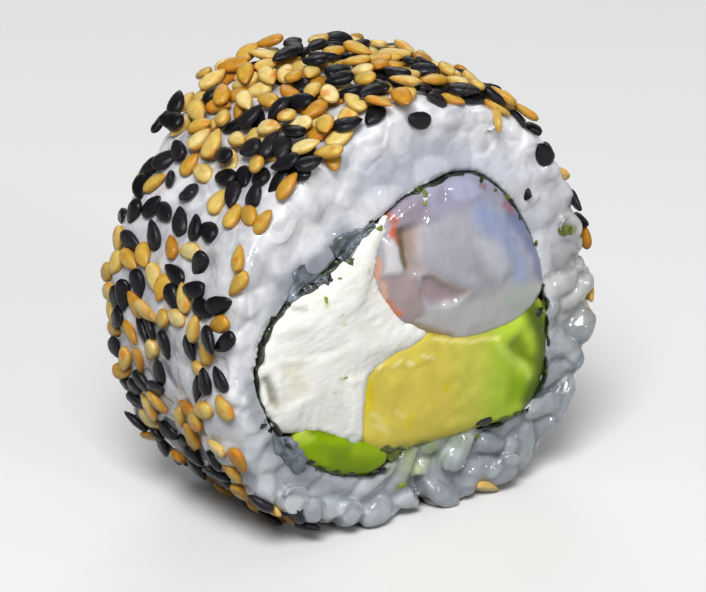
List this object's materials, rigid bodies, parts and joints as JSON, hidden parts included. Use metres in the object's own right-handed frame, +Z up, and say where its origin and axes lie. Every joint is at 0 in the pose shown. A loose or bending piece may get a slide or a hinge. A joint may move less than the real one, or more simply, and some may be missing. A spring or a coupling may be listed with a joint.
{
  "type": "uramaki roll",
  "caption": "Cut piece of inside-out sushi roll lying on its side: rice ring, nori, curled shrimp, cream cheese and avocado, coated with sesame",
  "frame": {"origin": "under the middle of the piece, on the surface that it rests on", "axes": "Y along the roll's axis with the shown cut facing -Y, X across it, Z up"},
  "size_m": [0.0461, 0.025, 0.0442],
  "materials": {
    "rice": "sticky, moist, pressed grains",
    "nori": "softened seaweed sheet, satin",
    "shrimp": "wet, pearly flesh",
    "cream_cheese": "soft, smeared by the knife",
    "avocado": "soft moist flesh, yellow to green",
    "avocado_tip": "moist green flesh from under the skin"
  },
  "bodies": {
    "root": {"rice": "rice", "nori": "nori", "shrimp": "shrimp", "cream_cheese": "cream_cheese", "avocado": "avocado", "avocado_tip": "avocado_tip"}
  },
  "joints": []
}
